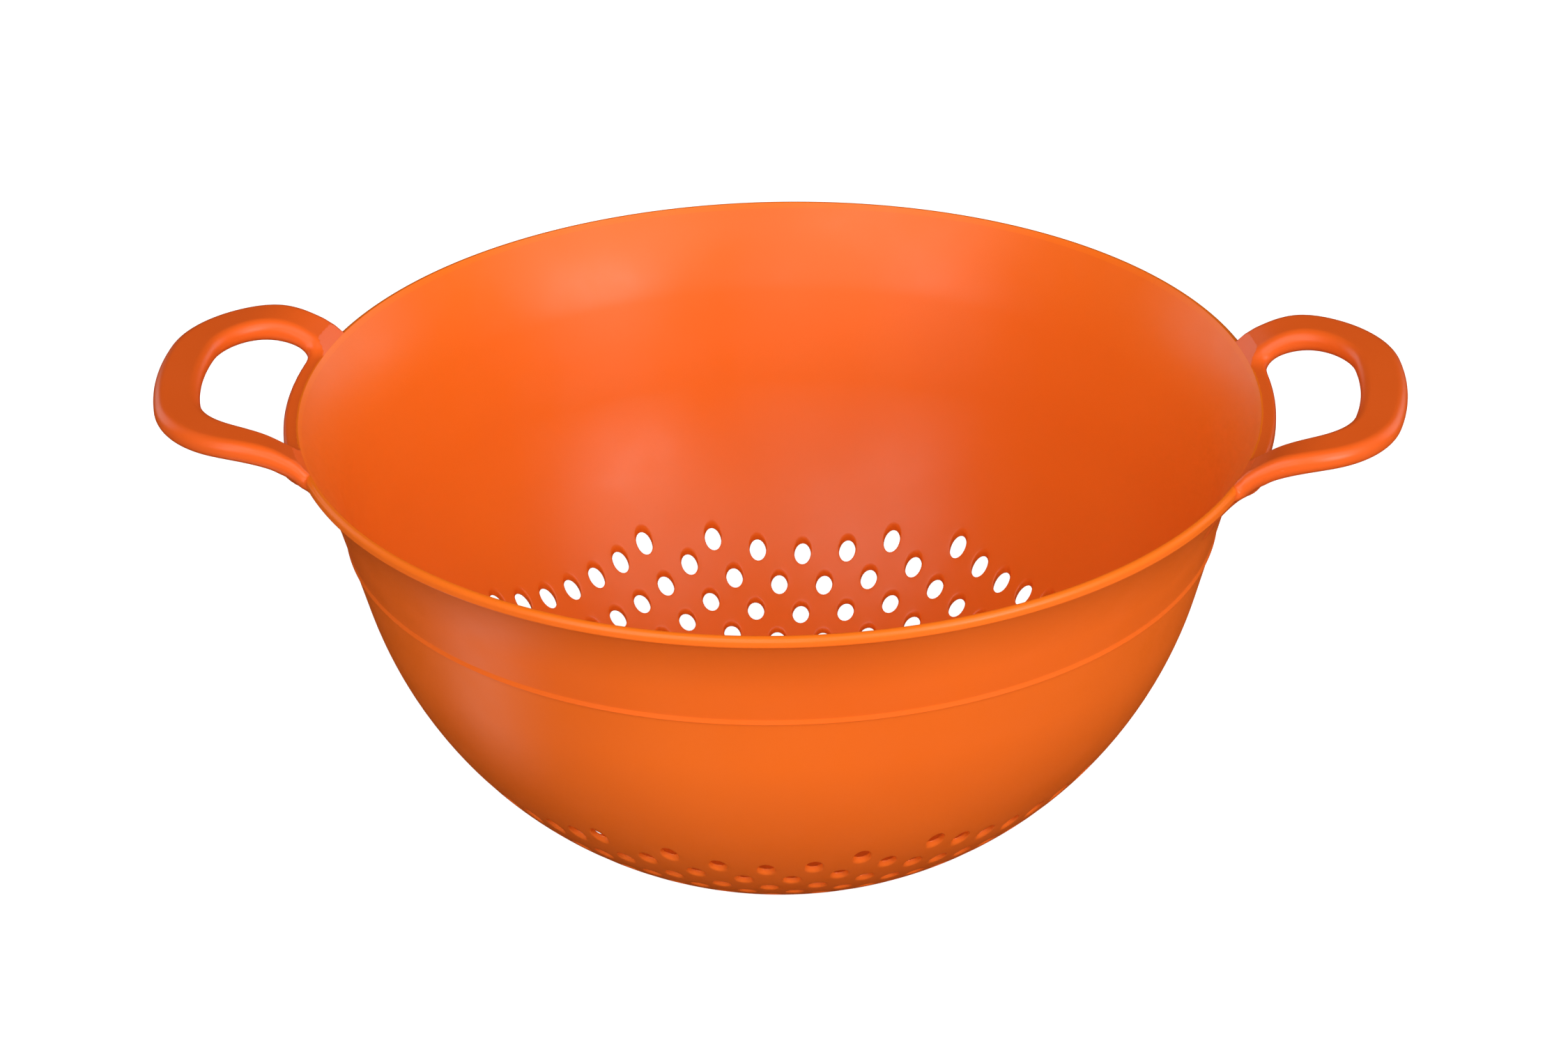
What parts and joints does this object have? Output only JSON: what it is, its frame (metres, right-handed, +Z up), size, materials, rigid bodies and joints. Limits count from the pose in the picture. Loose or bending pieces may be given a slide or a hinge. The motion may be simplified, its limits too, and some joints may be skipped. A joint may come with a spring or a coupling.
{
  "type": "colander",
  "caption": "Orange plastic colander: a round bowl pierced with drain holes, a flared rim band, loop handles that rise from the rim and a low foot ring.",
  "frame": {"origin": "on the resting plane of the foot ring, under the middle of the bowl", "axes": "+Z up out of the bowl's mouth, +X along the line through both handles"},
  "size_m": [0.2942, 0.229, 0.1213],
  "materials": {
    "bowl_plastic": "satin",
    "collar_plastic": "satin",
    "handle_plastic": "satin",
    "foot_plastic": "satin"
  },
  "bodies": {
    "root": {"bowl": "bowl_plastic", "rim_collar": "collar_plastic", "right_handle": "handle_plastic", "left_handle": "handle_plastic", "foot_ring": "foot_plastic"}
  },
  "joints": []
}
